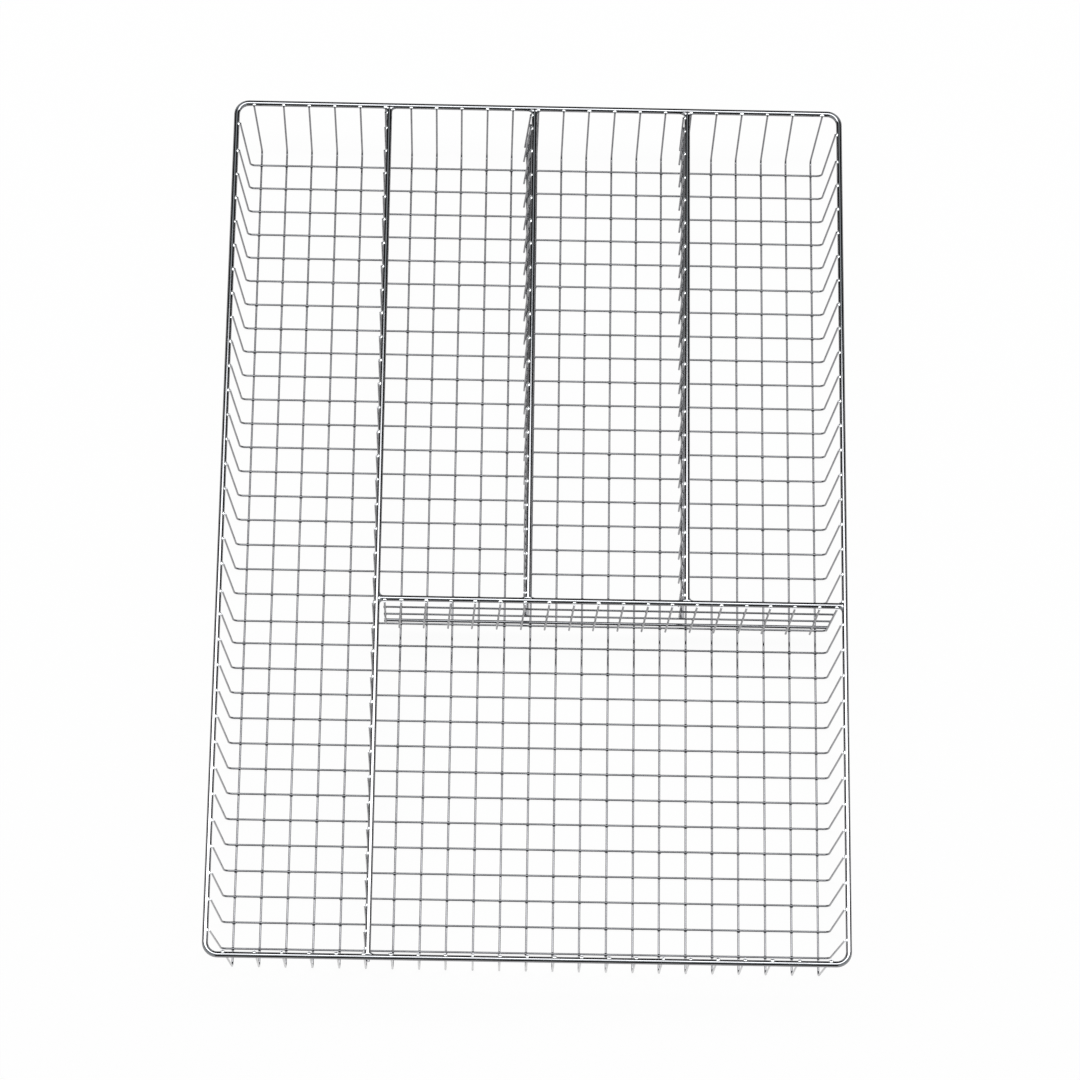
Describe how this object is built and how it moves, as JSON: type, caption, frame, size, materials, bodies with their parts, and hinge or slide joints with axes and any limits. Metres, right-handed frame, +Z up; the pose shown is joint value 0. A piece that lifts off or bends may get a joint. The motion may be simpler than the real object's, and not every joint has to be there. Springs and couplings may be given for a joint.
{
  "type": "flatware tray",
  "caption": "Open welded-wire drawer tray with a thick rim, a square wire mesh floor and walls, and wire dividers that sort flatware into compartments.",
  "frame": {"origin": "on the table, under the centre of the rim's rectangle", "axes": "+Z up, +Y to the back along the tray's length, +X to the right"},
  "size_m": [0.303, 0.436, 0.049],
  "materials": {
    "thick_wire": "bright chromed steel wire, smooth and mirror-like",
    "mesh_wire": "bright chromed steel wire, drawn thin, slightly greyer"
  },
  "bodies": {
    "root": {"centre_divider_rails": "mesh_wire", "centre_divider_top_wire": "thick_wire", "centre_divider_uprights": "mesh_wire", "cross_divider_rails": "mesh_wire", "cross_divider_top_wire": "thick_wire", "cross_divider_uprights": "mesh_wire", "cross_wires": "mesh_wire", "left_divider_rails": "mesh_wire", "left_divider_top_wire": "thick_wire", "left_divider_uprights": "mesh_wire", "long_wire_01": "mesh_wire", "long_wire_02": "mesh_wire", "long_wire_03": "mesh_wire", "long_wire_04": "mesh_wire", "long_wire_05": "mesh_wire", "long_wire_06": "mesh_wire", "long_wire_07": "mesh_wire", "long_wire_08": "mesh_wire", "long_wire_09": "mesh_wire", "long_wire_10": "mesh_wire", "long_wire_11": "mesh_wire", "long_wire_12": "mesh_wire", "long_wire_13": "mesh_wire", "long_wire_14": "mesh_wire", "long_wire_15": "mesh_wire", "long_wire_16": "mesh_wire", "long_wire_17": "mesh_wire", "long_wire_18": "mesh_wire", "long_wire_19": "mesh_wire", "long_wire_20": "mesh_wire", "long_wire_21": "mesh_wire", "long_wire_22": "mesh_wire", "long_wire_23": "mesh_wire", "right_divider_rails": "mesh_wire", "right_divider_top_wire": "thick_wire", "right_divider_uprights": "mesh_wire", "rim": "thick_wire"}
  },
  "joints": []
}
